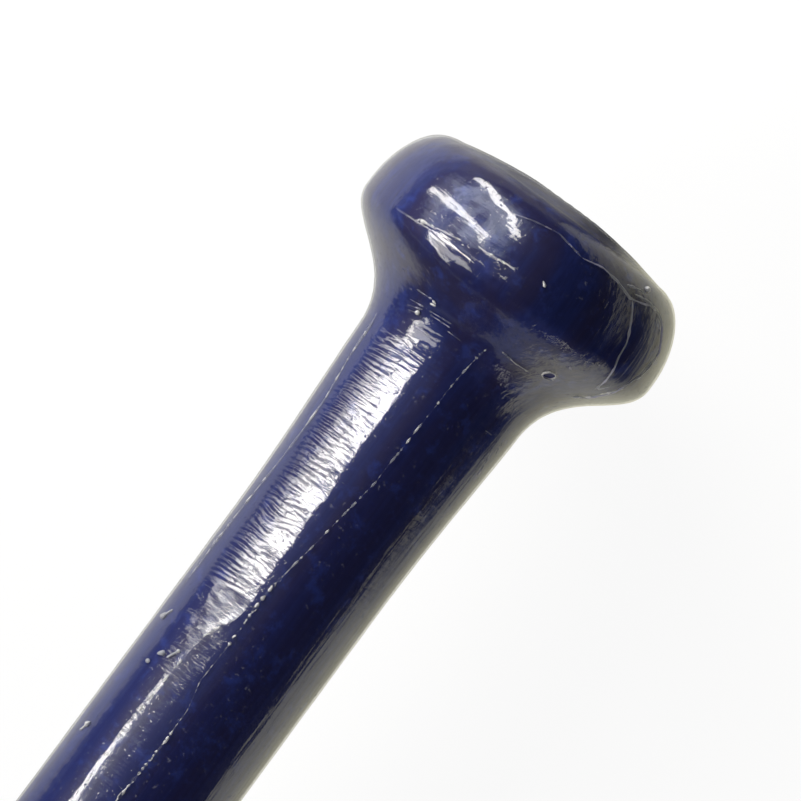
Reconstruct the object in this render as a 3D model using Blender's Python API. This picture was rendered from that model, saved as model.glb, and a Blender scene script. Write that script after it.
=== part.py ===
"""A laminated bamboo baseball bat in a clear shrink-film sleeve.

Metres, +Z up. The bat lies along +X, and the origin is the centre of the sleeve's flat over the knob
end. The bat is a billet of long bamboo strips, glued in rows and turned to the bat's outline. Turning
parts each outer strip into a knob piece and a barrel piece, and leaves only the core strips whole.
"""

import math

import bmesh
import bpy
from mathutils import Matrix, Vector

# Knob, as turned in the wood
KNOB_DIAMETER = 0.049
FACE_FLAT_DIAMETER = 0.012
FACE_CROWN_RADIUS = 0.074
RIM_WIDTH = 0.0066
RIM_LENGTH = 0.0114
KNOB_LAND_LENGTH = 0.0008
KNOB_BACK_LENGTH = 0.0164
BACK_FULLNESS = 0.0050
NECK_FULLNESS = 0.0100
NECK_DIAMETER = 0.0271

# Handle, taper and barrel, as turned: each run goes on from the one before and ends at its diameter.
# A drop is how much thinner than the barrel's fullest a run ends
WAIST_RUN = 0.031
WAIST_DIAMETER = 0.0247
GRIP_RUN = 0.138
GRIP_DIAMETER = 0.0262
FLARE_RUN = 0.130
FLARE_DIAMETER = 0.0323
TAPER_RUN = 0.130
TAPER_DIAMETER = 0.0464
SHOULDER_RUN = 0.130
SHOULDER_DROP = 0.0029
BARREL_RUN = 0.100
BARREL_DIAMETER = 0.0635
TIP_RUN = 0.1225
TIP_DROP = 0.0035
TIP_ROUND_LENGTH = 0.025
TIP_FLAT_DIAMETER = 0.016

# Billet: a square a little larger than the barrel. Each of its rows has two full strips and a narrow
# one, and every other row is turned round, so that the joints of neighbouring rows don't line up
BILLET_SPARE = 0.0015
BILLET_ROWS = 8
JOINT_OFFSET = 0.0040
GLUE_LINE = 0.0003

# Shrink-film sleeve and its vent hole, at the foot of the knob's back
FILM_CLEARANCE = 0.0003
FILM_WALL = 0.0002
VENT_DIAMETER = 0.0018
VENT_DISTANCE = 0.0215
VENT_ANGLE = 51.0

# Fineness of the faceted surfaces
FACETS = 24
CROWN_STEPS = 3
RIM_STEPS = 6
BACK_STEPS = 9
BODY_STEP = 0.035
TIP_STEPS = 6
VENT_FACETS = 12
SHARP_ANGLE = 35.0

NAVY_LACQUER = {"color": (0.012, 0.016, 0.085), "roughness": 0.22, "metallic": 0.0}
BAMBOO = {"color": (0.62, 0.42, 0.20), "roughness": 0.45, "metallic": 0.0}
CLEAR_FILM = {"color": (0.80, 0.82, 0.86), "roughness": 0.08, "metallic": 0.0}


def clear_scene():
    for item in list(bpy.data.objects):
        bpy.data.objects.remove(item, do_unlink=True)


def make_material(name, look):
    material = bpy.data.materials.new(name)
    material.use_nodes = True
    shader = material.node_tree.nodes["Principled BSDF"]
    shader.inputs["Base Color"].default_value = (*look["color"], 1.0)
    shader.inputs["Roughness"].default_value = look["roughness"]
    shader.inputs["Metallic"].default_value = look["metallic"]
    return material


def face_crown():
    """The knob's face, a flat that falls away in a shallow crown to the rim."""
    flat = FACE_FLAT_DIAMETER / 2
    edge = KNOB_DIAMETER / 2 - RIM_WIDTH
    points = []
    for step in range(CROWN_STEPS):
        radius = flat + (edge - flat) * step / CROWN_STEPS
        fall = (radius**2 - flat**2) / (2 * FACE_CROWN_RADIUS)
        points.append(Vector((fall, radius)))
    return points


def face_fall():
    """How far back from the face's flat the rim starts."""
    edge = KNOB_DIAMETER / 2 - RIM_WIDTH
    return (edge**2 - (FACE_FLAT_DIAMETER / 2) ** 2) / (2 * FACE_CROWN_RADIUS)


def knob_rim(start):
    """A quarter of an ellipse from the face's edge to the knob's widest, and the land there."""
    edge = KNOB_DIAMETER / 2 - RIM_WIDTH
    points = []
    for step in range(RIM_STEPS + 1):
        turn = math.pi / 2 * step / RIM_STEPS
        x = start + RIM_LENGTH * (1 - math.cos(turn))
        points.append(Vector((x, edge + RIM_WIDTH * math.sin(turn))))
    points.append(points[-1] + Vector((KNOB_LAND_LENGTH, 0.0)))
    return points


def bezier(start, start_handle, end_handle, end, steps):
    """The points of a cubic curve after its start, up to its end."""
    points = []
    for step in range(1, steps + 1):
        t = step / steps
        u = 1 - t
        points.append(u**3 * start + 3 * u * u * t * start_handle + 3 * u * t * t * end_handle + t**3 * end)
    return points


def body_stations():
    """Where the neck, waist, grip, taper and barrel are set out, as (distance, radius)."""
    neck_end = face_fall() + RIM_LENGTH + KNOB_LAND_LENGTH + KNOB_BACK_LENGTH
    stations = [Vector((neck_end, NECK_DIAMETER / 2))]
    for run, diameter in (
        (WAIST_RUN, WAIST_DIAMETER),
        (GRIP_RUN, GRIP_DIAMETER),
        (FLARE_RUN, FLARE_DIAMETER),
        (TAPER_RUN, TAPER_DIAMETER),
        (SHOULDER_RUN, BARREL_DIAMETER - SHOULDER_DROP),
        (BARREL_RUN, BARREL_DIAMETER),
        (TIP_RUN, BARREL_DIAMETER - TIP_DROP),
    ):
        stations.append(Vector((stations[-1].x + run, diameter / 2)))
    return stations


def station_slopes(stations):
    """A slope at each station that keeps the curve through them from overshooting."""
    secants = [(b.y - a.y) / (b.x - a.x) for a, b in zip(stations, stations[1:])]
    slopes = [secants[0]]
    for before, after in zip(secants, secants[1:]):
        turns_back = before * after <= 0
        slopes.append(0.0 if turns_back else 2 * before * after / (before + after))
    slopes.append(secants[-1])
    return slopes


def body_curve(stations, slopes):
    """A smooth curve through the stations, without the first of them."""
    points = []
    for index in range(len(stations) - 1):
        start, end = stations[index], stations[index + 1]
        third = (end.x - start.x) / 3
        start_handle = start + third * Vector((1.0, slopes[index]))
        end_handle = end - third * Vector((1.0, slopes[index + 1]))
        steps = math.ceil((end.x - start.x) / BODY_STEP)
        points += bezier(start, start_handle, end_handle, end, steps)
    return points


def barrel_tip(start, slope):
    """The rounding from the barrel's side to the flat in the middle of its end."""
    flat_edge = Vector((start.x + TIP_ROUND_LENGTH, TIP_FLAT_DIAMETER / 2))
    round_share = 0.5523  # the handle length with which a cubic comes nearest to a quarter ellipse
    start_handle = start + round_share * TIP_ROUND_LENGTH * Vector((1.0, slope))
    end_handle = flat_edge + Vector((0.0, round_share * (start.y - flat_edge.y)))
    return bezier(start, start_handle, end_handle, flat_edge, TIP_STEPS)


def turned_outline():
    """The wood's outline as (distance from its knob end, radius), from flat to flat."""
    points = face_crown() + knob_rim(face_fall())
    widest = points[-1]
    stations = body_stations()
    slopes = station_slopes(stations)
    back_handle = widest + Vector((BACK_FULLNESS, 0.0))
    neck_handle = stations[0] - NECK_FULLNESS * Vector((1.0, slopes[0]))
    points += bezier(widest, back_handle, neck_handle, stations[0], BACK_STEPS)
    points += body_curve(stations, slopes)
    points += barrel_tip(stations[-1], slopes[-1])
    seat = FILM_CLEARANCE + FILM_WALL
    return [point + Vector((seat, 0.0)) for point in points]


def outward(direction):
    return Vector((-direction.y, direction.x)).normalized()


def grown(outline, distance):
    """The outline moved outwards by a distance, with mitred corners, so that flats stay flat."""
    face_centre = Vector((outline[0].x, 0.0))
    tip_centre = Vector((outline[-1].x, 0.0))
    points = [face_centre, *outline, tip_centre]
    moved = []
    for before, here, after in zip(points, points[1:], points[2:]):
        mitre = outward(here - before) + outward(after - here)
        moved.append(here + mitre * (2 * distance / mitre.length_squared))
    return moved


def close_holes(bm):
    rims = [edge for edge in bm.edges if edge.is_boundary]
    bmesh.ops.holes_fill(bm, edges=rims, sides=0)


def turned_solid(outline):
    """The outline spun about the X axis, closed at both ends, with a facet facing down."""
    bm = bmesh.new()
    half_facet = math.pi / FACETS
    profile = [bm.verts.new((p.x, -p.y * math.sin(half_facet), -p.y * math.cos(half_facet))) for p in outline]
    for here, after in zip(profile, profile[1:]):
        bm.edges.new((here, after))
    bmesh.ops.spin(
        bm,
        geom=bm.verts[:] + bm.edges[:],
        cent=(0.0, 0.0, 0.0),
        axis=(1.0, 0.0, 0.0),
        angle=2 * math.pi,
        steps=FACETS,
        use_merge=True,
    )
    close_holes(bm)
    bmesh.ops.recalc_face_normals(bm, faces=bm.faces[:])
    return bm


def trim(bm, point, beyond):
    """Cuts away all that lies beyond a plane through the point, and closes the cut."""
    bmesh.ops.bisect_plane(
        bm,
        geom=bm.verts[:] + bm.edges[:] + bm.faces[:],
        dist=1e-8,
        plane_co=point,
        plane_no=beyond,
        clear_outer=True,
    )
    close_holes(bm)


def slice_between(blank, axis, low, high):
    """A copy of what the blank holds between two planes across an axis."""
    bm = blank.copy()
    trim(bm, low * axis, -axis)
    trim(bm, high * axis, axis)
    return bm


def island_from(face, seen):
    """All faces joined to this one, through shared edges."""
    seen.add(face)
    island = [face]
    for member in island:
        for edge in member.edges:
            for beside in edge.link_faces:
                if beside not in seen:
                    seen.add(beside)
                    island.append(beside)
    return island


def separate_bodies(bm):
    """One mesh for each body that turning has parted, from the knob to the barrel."""
    seen = set()
    islands = [island_from(face, seen) for face in bm.faces if face not in seen]
    bodies = []
    for island in islands:
        kept = {face.index for face in island}
        body = bm.copy()
        body.faces.ensure_lookup_table()
        others = [face for face in body.faces if face.index not in kept]
        bmesh.ops.delete(body, geom=others, context="FACES")
        bodies.append(body)
    return sorted(bodies, key=nearest_to_knob)


def nearest_to_knob(bm):
    return min(vert.co.x for vert in bm.verts)


def furthest_from_knob(bm):
    return max(vert.co.x for vert in bm.verts)


def billet_cells():
    """Every strip of the billet, as (name, low y, high y, low z, high z)."""
    side = BARREL_DIAMETER + BILLET_SPARE
    thickness = side / BILLET_ROWS
    full_width = side / 2 - JOINT_OFFSET
    half_line = GLUE_LINE / 2
    for index in range(BILLET_ROWS):
        row = index - BILLET_ROWS // 2
        row_name = f"upper{row + 1}" if row >= 0 else f"lower{-row}"
        bottom = row * thickness
        if index % 2:
            edges = (-side / 2, -JOINT_OFFSET, full_width - JOINT_OFFSET, side / 2)
        else:
            edges = (-side / 2, JOINT_OFFSET - full_width, JOINT_OFFSET, side / 2)
        for place, low, high in zip(("left", "middle", "right"), edges, edges[1:]):
            yield (
                f"{row_name}_{place}",
                low + half_line,
                high - half_line,
                bottom + half_line,
                bottom + thickness - half_line,
            )


def turned_strips(outline):
    """Every body of bamboo in the turned billet, as (name, mesh)."""
    blank = turned_solid(outline)
    waist = body_stations()[1].x
    pieces = []
    for cell_name, low_y, high_y, low_z, high_z in billet_cells():
        row = slice_between(blank, Vector((0.0, 0.0, 1.0)), low_z, high_z)
        strip = slice_between(row, Vector((0.0, 1.0, 0.0)), low_y, high_y)
        for body in separate_bodies(strip):
            if furthest_from_knob(body) < waist:
                place = "knob_piece"
            elif nearest_to_knob(body) > waist:
                place = "barrel_strip"
            else:
                place = "core_strip"
            pieces.append((f"{place}_{cell_name}", body))
        row.free()
        strip.free()
    blank.free()
    return pieces


def add_piece(name, bm, material, parent):
    """One named object, with its origin in the middle of its end nearest to the knob."""
    lows = [min(vert.co[axis] for vert in bm.verts) for axis in range(3)]
    highs = [max(vert.co[axis] for vert in bm.verts) for axis in range(3)]
    origin = Vector((lows[0], (lows[1] + highs[1]) / 2, (lows[2] + highs[2]) / 2))
    bm.transform(Matrix.Translation(-origin))
    mesh = bpy.data.meshes.new(name)
    bm.to_mesh(mesh)
    bm.free()
    mesh.shade_smooth()
    mesh.set_sharp_from_angle(angle=math.radians(SHARP_ANGLE))
    mesh.materials.append(material)
    piece = bpy.data.objects.new(name, mesh)
    piece.location = origin
    piece.parent = parent
    bpy.context.collection.objects.link(piece)
    return piece


def build_strips(outline, parent):
    for name, body in turned_strips(outline):
        look = BAMBOO if name.startswith("barrel") else NAVY_LACQUER
        add_piece(name, body, make_material(name, look), parent)


def vent_frame(outline):
    """The vent hole's centre on the sleeve, and the way it points, out through the film."""
    for here, after in zip(outline, outline[1:]):
        if here.x <= VENT_DISTANCE <= after.x:
            share = (VENT_DISTANCE - here.x) / (after.x - here.x)
            place = here.lerp(after, share)
            normal = outward(after - here)
    around = Matrix.Rotation(math.radians(-VENT_ANGLE), 3, "X")
    centre = around @ Vector((place.x, 0.0, place.y))
    return centre, around @ Vector((normal.x, 0.0, normal.y))


def add_vent_punch(outline, parent):
    """The cutter for the vent hole. It goes through the wall and stops short of the wood's far side."""
    centre, points_out = vent_frame(outline)
    bm = bmesh.new()
    bmesh.ops.create_cone(
        bm,
        cap_ends=True,
        segments=VENT_FACETS,
        radius1=VENT_DIAMETER / 2,
        radius2=VENT_DIAMETER / 2,
        depth=2 * (FILM_WALL + VENT_DIAMETER),
    )
    mesh = bpy.data.meshes.new("vent_punch")
    bm.to_mesh(mesh)
    bm.free()
    punch = bpy.data.objects.new("vent_punch", mesh)
    punch.location = centre
    punch.rotation_euler = points_out.to_track_quat("Z", "Y").to_euler()
    punch.hide_render = True
    punch.display_type = "WIRE"
    punch.parent = parent
    bpy.context.collection.objects.link(punch)
    return punch


def build_sleeve(outline, parent):
    """The film: one wall all round the wood, open only at the vent hole."""
    inside = grown(outline, FILM_CLEARANCE)
    outside = grown(outline, FILM_CLEARANCE + FILM_WALL)
    bm = turned_solid(outside)
    hollow = turned_solid(inside)
    bmesh.ops.reverse_faces(hollow, faces=hollow.faces[:])
    hollow_mesh = bpy.data.meshes.new("sleeve_hollow")
    hollow.to_mesh(hollow_mesh)
    hollow.free()
    bm.from_mesh(hollow_mesh)
    bpy.data.meshes.remove(hollow_mesh)
    sleeve = add_piece("film_sleeve", bm, make_material("film_sleeve", CLEAR_FILM), parent)
    cut = sleeve.modifiers.new("vent_hole", "BOOLEAN")
    cut.operation = "DIFFERENCE"
    cut.solver = "EXACT"
    cut.object = add_vent_punch(outside, parent)


def build_bat():
    clear_scene()
    bat = bpy.data.objects.new("bat", None)
    bpy.context.collection.objects.link(bat)
    outline = turned_outline()
    build_strips(outline, bat)
    build_sleeve(outline, bat)


build_bat()
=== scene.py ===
"""The looks of a laminated bamboo baseball bat in a clear shrink-film sleeve.

Metres, +Z up. The bat lies along +X, with its knob end at the origin. Round the bat, an angle is
counted in degrees from the top towards +Y.
"""

import math

import bmesh
import bpy
import numpy as np
from mathutils import Matrix, Vector


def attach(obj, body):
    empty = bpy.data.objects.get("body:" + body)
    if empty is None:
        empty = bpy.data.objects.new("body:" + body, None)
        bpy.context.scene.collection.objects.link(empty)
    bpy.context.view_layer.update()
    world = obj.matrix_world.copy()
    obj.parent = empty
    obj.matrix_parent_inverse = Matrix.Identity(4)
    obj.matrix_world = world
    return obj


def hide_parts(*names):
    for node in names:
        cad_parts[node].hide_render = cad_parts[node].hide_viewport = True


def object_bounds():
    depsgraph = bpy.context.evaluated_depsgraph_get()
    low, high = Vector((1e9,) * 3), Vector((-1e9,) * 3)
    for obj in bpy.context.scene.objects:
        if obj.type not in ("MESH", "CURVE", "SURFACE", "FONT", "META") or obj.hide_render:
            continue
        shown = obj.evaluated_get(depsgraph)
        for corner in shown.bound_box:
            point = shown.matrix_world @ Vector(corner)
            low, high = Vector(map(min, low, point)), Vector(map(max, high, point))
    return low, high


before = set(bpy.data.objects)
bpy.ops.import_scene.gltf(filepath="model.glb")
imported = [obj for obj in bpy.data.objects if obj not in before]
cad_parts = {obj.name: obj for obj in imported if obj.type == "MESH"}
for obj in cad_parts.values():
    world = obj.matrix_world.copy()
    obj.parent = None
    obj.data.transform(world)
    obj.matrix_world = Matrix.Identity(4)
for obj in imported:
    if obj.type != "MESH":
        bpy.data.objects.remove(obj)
cad_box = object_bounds()

Y_AXIS = Vector((0.0, 1.0, 0.0))
Z_AXIS = Vector((0.0, 0.0, 1.0))

# The turned wood
KNOB_DIAMETER = 0.049
FACE_FLAT_DIAMETER = 0.012
FACE_CROWN_RADIUS = 0.074
RIM_WIDTH = 0.0066
RIM_LENGTH = 0.0114
KNOB_LAND_LENGTH = 0.0008
KNOB_BACK_LENGTH = 0.0164
BACK_FULLNESS = 0.0050
NECK_FULLNESS = 0.0100
NECK_DIAMETER = 0.0271
BARREL_DIAMETER = 0.0635
BODY_RUNS = (
    (0.031, 0.0247),
    (0.138, 0.0262),
    (0.130, 0.0323),
    (0.130, 0.0464),
    (0.130, 0.0606),
    (0.100, BARREL_DIAMETER),
    (0.1225, 0.0600),
)
TIP_ROUND_LENGTH = 0.025
TIP_FLAT_DIAMETER = 0.016

# The billet and the strips it was glued from
BILLET_SIDE = 0.065
BILLET_ROWS = 8
JOINT_OFFSET = 0.0040
GLUE_LINE = 0.00012
WAIST_DISTANCE = 0.0623  # knob pieces end before it, and barrel strips start beyond it
WOOD_EDGE_ANGLE = 30.0  # an edge turns by more degrees than this
SHADE_STEP = 0.6180  # how one stick's shade and its place along the pattern differ from the next's
START_STEP = 0.7549

# The sleeve and its vent hole
FILM_CLEARANCE = 0.0003
FILM_WALL = 0.0002
VENT_DIAMETER = 0.0018
VENT_DISTANCE = 0.0215
VENT_ANGLE = 51.0
FILM_MIRROR = 0.09  # how much the film mirrors, seen straight on

# The navy lacquer over the knob and the handle
COAT_END = 0.330
COAT_BASE = 0.00002
COAT_TOP = 0.00026
COAT_EDGE_ANGLE = 40.0

# How finely the shapes are drawn
FACE_STEPS = 24
RIM_STEPS = 60
BACK_STEPS = 90
BODY_STEPS = 60
TIP_STEPS = 40
ROUND_HANDLE = 0.5523  # a curve's handles for a quarter of a circle, as a share of its radius
WOOD_FACETS = 96
COAT_FACETS = 128
LINING_FACETS = 64

# The photograph's view: 801 pixels square, with the knob end up and to the right
CAMERA_TILT = 12.0
VIEW_WIDTH = 0.1144
VIEW_DISTANCE = 1.2
SENSOR_WIDTH = 36.0
BAT_ACROSS_VIEW = 0.5934
BAT_UP_VIEW = 0.8049
VIEW_CENTRE_ALONG = 0.0367
VIEW_CENTRE_ACROSS = -0.0027
LAMP_DISTANCE = 0.26
FLOOR_REACH = 6.0
CLOUD_DIRECTION = (-0.475, -0.575, 0.665)  # a bright cloud that only shows in gloss

# Colours
PALE_STICK = (0.74, 0.535, 0.275, 1)
TOASTED_STICK = (0.47, 0.28, 0.11, 1)
CLOUDED_STICK = (0.44, 0.26, 0.10, 1)
STICK_VEIN = (0.25, 0.125, 0.045, 1)
STICK_JOINT = (0.26, 0.14, 0.055, 1)
NAVY = (0.011, 0.020, 0.140, 1)
BRIGHT_NAVY = (0.016, 0.030, 0.190, 1)
CLOUDED_NAVY = (0.024, 0.017, 0.070, 1)
NAVY_WISP = (0.028, 0.050, 0.28, 1)
# Colours of whitened film: partly its real whitening, and partly painted glints on the folds
MILKY = (0.60, 0.62, 0.68, 1)
MILK_WHITE = (0.92, 0.92, 0.93, 1)
LILAC = (0.62, 0.61, 0.80, 1)
WHITE = (1.0, 1.0, 1.0, 1)
SKY = (0.74, 0.80, 0.92, 1)
FLOOR_PAINT = (0.50, 0.50, 0.48, 1)
FLOOR_SHADE = (0.09, 0.09, 0.09, 1)
# Colours of the floor's painted reflection, which shows only in gloss: nearer the lamps, and beyond
# the bat
PAINTED_NEAR_FLOOR_REFLECTION = (1.0, 0.99, 0.93, 1)
PAINTED_FAR_FLOOR_REFLECTION = (1.0, 0.97, 0.74, 1)
LAMP_COLOUR = (1.0, 0.97, 0.91)


# Outline of the turned wood


def bezier(start, start_handle, end_handle, end, steps):
    """The points of a cubic curve after its start, up to its end."""
    points = []
    for step in range(1, steps + 1):
        t = step / steps
        u = 1 - t
        from_start = u**3 * start + 3 * u * u * t * start_handle
        points.append(from_start + 3 * u * t * t * end_handle + t**3 * end)
    return points


def face_and_rim():
    """The knob's crowned face, its rim and the land at its widest."""
    flat = FACE_FLAT_DIAMETER / 2
    edge = KNOB_DIAMETER / 2 - RIM_WIDTH
    points = []
    for radius in np.linspace(flat, edge, FACE_STEPS)[:-1]:
        points.append(Vector(((radius**2 - flat**2) / (2 * FACE_CROWN_RADIUS), radius)))
    fall = (edge**2 - flat**2) / (2 * FACE_CROWN_RADIUS)
    for turn in np.linspace(0, math.pi / 2, RIM_STEPS):
        along = fall + RIM_LENGTH * (1 - math.cos(turn))
        points.append(Vector((along, edge + RIM_WIDTH * math.sin(turn))))
    points.append(points[-1] + Vector((KNOB_LAND_LENGTH, 0.0)))
    return points


def body_and_tip(neck):
    """The smooth curve from the neck to the barrel, and the rounded end."""
    stations = [neck]
    for run, diameter in BODY_RUNS:
        stations.append(Vector((stations[-1].x + run, diameter / 2)))
    secants = [(b.y - a.y) / (b.x - a.x) for a, b in zip(stations, stations[1:])]
    slopes = [secants[0]]
    for before, after in zip(secants, secants[1:]):
        slopes.append(0.0 if before * after <= 0 else 2 * before * after / (before + after))
    slopes.append(secants[-1])
    points = []
    for index in range(len(stations) - 1):
        start, end = stations[index], stations[index + 1]
        third = (end.x - start.x) / 3
        start_handle = start + third * Vector((1.0, slopes[index]))
        end_handle = end - third * Vector((1.0, slopes[index + 1]))
        points += bezier(start, start_handle, end_handle, end, BODY_STEPS)
    flat_edge = Vector((stations[-1].x + TIP_ROUND_LENGTH, TIP_FLAT_DIAMETER / 2))
    start_handle = stations[-1] + ROUND_HANDLE * TIP_ROUND_LENGTH * Vector((1.0, slopes[-1]))
    end_handle = flat_edge + Vector((0.0, ROUND_HANDLE * (stations[-1].y - flat_edge.y)))
    points += bezier(stations[-1], start_handle, end_handle, flat_edge, TIP_STEPS)
    return points, slopes[0]


def wood_outline():
    """The wood's outline as (distance, radius), from flat to flat."""
    points = face_and_rim()
    widest = points[-1]
    neck = Vector((widest.x + KNOB_BACK_LENGTH, NECK_DIAMETER / 2))
    body, neck_slope = body_and_tip(neck)
    back_handle = widest + Vector((BACK_FULLNESS, 0.0))
    neck_handle = neck - NECK_FULLNESS * Vector((1.0, neck_slope))
    points += bezier(widest, back_handle, neck_handle, neck, BACK_STEPS)
    seat = Vector((FILM_CLEARANCE + FILM_WALL, 0.0))
    return [point + seat for point in points + body]


def outward(direction):
    return Vector((-direction.y, direction.x)).normalized()


def closed_outline(outline):
    """The outline with a point on the axis at each end."""
    return [Vector((outline[0].x, 0.0)), *outline, Vector((outline[-1].x, 0.0))]


def grown(outline, distance):
    """The outline moved outwards by a distance, with mitred corners."""
    points = closed_outline(outline)
    moved = []
    for before, here, after in zip(points, points[1:], points[2:]):
        mitre = outward(here - before) + outward(after - here)
        moved.append(here + mitre * (2 * distance / mitre.length_squared))
    return moved


def arc_lengths(points):
    steps = [(b - a).length for a, b in zip(points, points[1:])]
    return np.concatenate([[0.0], np.cumsum(steps)])


def respaced(points, zones):
    """Points along the same outline, each zone (end, step) with a step of its own."""
    arcs = arc_lengths(points)
    places = [0.0]
    for end, step in zones:
        end = min(end, arcs[-1])
        count = max(1, round((end - places[-1]) / step))
        places += list(np.linspace(places[-1], end, count + 1)[1:])
    xs = np.interp(places, arcs, [p.x for p in points])
    ys = np.interp(places, arcs, [p.y for p in points])
    return [Vector((x, y)) for x, y in zip(xs, ys)]


WOOD = wood_outline()
FILM_OUTLINE = closed_outline(grown(WOOD, FILM_CLEARANCE + FILM_WALL))
FILM_ARCS = arc_lengths(FILM_OUTLINE)


def on_film(arc, angle):
    """A point on the sleeve, arc metres over it from the knob end's centre, and its normal."""
    index = int(np.clip(np.searchsorted(FILM_ARCS, arc), 1, len(FILM_ARCS) - 1))
    before, after = FILM_OUTLINE[index - 1], FILM_OUTLINE[index]
    share = (arc - FILM_ARCS[index - 1]) / (FILM_ARCS[index] - FILM_ARCS[index - 1])
    normal = outward(after - before)
    place = before.lerp(after, share)
    around = Matrix.Rotation(math.radians(-angle), 3, "X")
    return around @ Vector((place.x, 0.0, place.y)), around @ Vector((normal.x, 0.0, normal.y))


# Node trees


def feed(tree, socket, value):
    if isinstance(value, bpy.types.NodeSocket):
        tree.links.new(value, socket)
    else:
        socket.default_value = value


def add_node(tree, kind, inputs=None, **settings):
    """A node with its settings, and its inputs set to values or linked to other nodes' outputs."""
    made = tree.nodes.new(kind)
    for name, value in settings.items():
        setattr(made, name, value)
    for name, value in (inputs or {}).items():
        feed(tree, made.inputs[name], value)
    return made


def maths(tree, operation, *values):
    return add_node(tree, "ShaderNodeMath", dict(enumerate(values)), operation=operation).outputs[0]


def chained(tree, operation, first, *others):
    """One operation on a row of values, from left to right."""
    for other in others:
        first = maths(tree, operation, first, other)
    return first


def product(tree, *values):
    return chained(tree, "MULTIPLY", *values)


def total(tree, *values):
    return chained(tree, "ADD", *values)


def largest(tree, *values):
    return chained(tree, "MAXIMUM", *values)


def vector_maths(tree, operation, *values, output="Vector"):
    inputs = dict(enumerate(values))
    return add_node(tree, "ShaderNodeVectorMath", inputs, operation=operation).outputs[output]


def scaled(tree, vector, scale):
    inputs = {"Vector": vector, "Scale": scale}
    return add_node(tree, "ShaderNodeVectorMath", inputs, operation="SCALE").outputs["Vector"]


def parted(tree, place):
    return add_node(tree, "ShaderNodeSeparateXYZ", {"Vector": place}).outputs


def joined(tree, x, y, z):
    return add_node(tree, "ShaderNodeCombineXYZ", {"X": x, "Y": y, "Z": z}).outputs["Vector"]


def ramp(tree, value, low, high, to_low=0.0, to_high=1.0):
    """The value's place between low and high, eased, as a number between two others."""
    made = add_node(
        tree,
        "ShaderNodeMapRange",
        {"Value": value, "From Min": low, "From Max": high, "To Min": to_low, "To Max": to_high},
        interpolation_type="SMOOTHSTEP",
    )
    return made.outputs["Result"]


def noise(tree, place, scale=1.0, detail=2.0, roughness=0.5, seed=0.0, output="Fac"):
    made = add_node(
        tree,
        "ShaderNodeTexNoise",
        {"Vector": place, "W": seed, "Scale": scale, "Detail": detail, "Roughness": roughness},
        noise_dimensions="4D",
    )
    return made.outputs[output]


def new_tree(name, kind, inputs, outputs):
    """A node tree with named inputs and outputs. An input has the number that it starts with, and one
    that isn't a number has the name of its kind, as every output has."""
    tree = bpy.data.node_groups.new(name, kind)
    number_kinds = {int: "Int", float: "Float"}
    for label, value in inputs.items():
        socket_kind = number_kinds.get(type(value), value)
        socket = tree.interface.new_socket(
            label, in_out="INPUT", socket_type=f"NodeSocket{socket_kind}"
        )
        if socket_kind != value:
            socket.default_value = value
    for label, socket_kind in outputs.items():
        tree.interface.new_socket(label, in_out="OUTPUT", socket_type=f"NodeSocket{socket_kind}")
    given = tree.nodes.new("NodeGroupInput")
    result = tree.nodes.new("NodeGroupOutput")
    return tree, given.outputs, result.inputs


def grouped(tree, group, inputs):
    kind = "GeometryNodeGroup" if tree.bl_idname == "GeometryNodeTree" else "ShaderNodeGroup"
    return add_node(tree, kind, inputs, node_tree=group).outputs


# Geometry trees


def spun_wall_tree():
    """A wall spun about the X axis from a row of points (distance, 0, radius). With bunching, its
    facets are narrower on the side that faces the finest angle (degrees)."""
    tree, given, result = new_tree(
        "Spun wall",
        "GeometryNodeTree",
        {"Outline": "Geometry", "Facets": 96, "Bunching": 0.0, "Finest At": 0.0},
        {"Wall": "Geometry"},
    )
    size = add_node(tree, "GeometryNodeAttributeDomainSize", {"Geometry": given["Outline"]})
    columns = total(tree, given["Facets"], 1.0)
    grid = add_node(
        tree,
        "GeometryNodeMeshGrid",
        {"Vertices X": size.outputs["Point Count"], "Vertices Y": columns},
    )
    index = add_node(tree, "GeometryNodeInputIndex").outputs[0]
    row = maths(tree, "FLOOR", maths(tree, "DIVIDE", total(tree, index, 0.5), columns))
    column = maths(tree, "SUBTRACT", index, product(tree, row, columns))
    even = product(tree, maths(tree, "DIVIDE", column, given["Facets"]), 2 * math.pi)
    gathered = product(tree, maths(tree, "SINE", even), given["Bunching"])
    finest = maths(tree, "RADIANS", given["Finest At"])
    turn = total(tree, maths(tree, "SUBTRACT", even, gathered), finest)
    position = add_node(tree, "GeometryNodeInputPosition").outputs[0]
    sample = add_node(
        tree,
        "GeometryNodeSampleIndex",
        {"Geometry": given["Outline"], "Index": row, "Value": position},
        data_type="FLOAT_VECTOR",
    )
    point = parted(tree, sample.outputs[0])
    across = product(tree, point["Z"], maths(tree, "SINE", turn))
    up = product(tree, point["Z"], maths(tree, "COSINE", turn))
    moved = add_node(
        tree,
        "GeometryNodeSetPosition",
        {"Geometry": grid.outputs["Mesh"], "Position": joined(tree, point["X"], across, up)},
    )
    merged = add_node(
        tree, "GeometryNodeMergeByDistance", {"Geometry": moved.outputs[0], "Distance": 1e-7}
    )
    tree.links.new(merged.outputs[0], result["Wall"])
    return tree


def finish_tree(tree, geometry, material, output):
    """Smooth shading, real geometry and the material, as the tree of every piece ends."""
    smooth = add_node(tree, "GeometryNodeSetShadeSmooth", {"Geometry": geometry})
    real = add_node(tree, "GeometryNodeRealizeInstances", {"Geometry": smooth.outputs[0]})
    painted = add_node(
        tree, "GeometryNodeSetMaterial", {"Geometry": real.outputs[0], "Material": material}
    )
    tree.links.new(painted.outputs[0], output)


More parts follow.
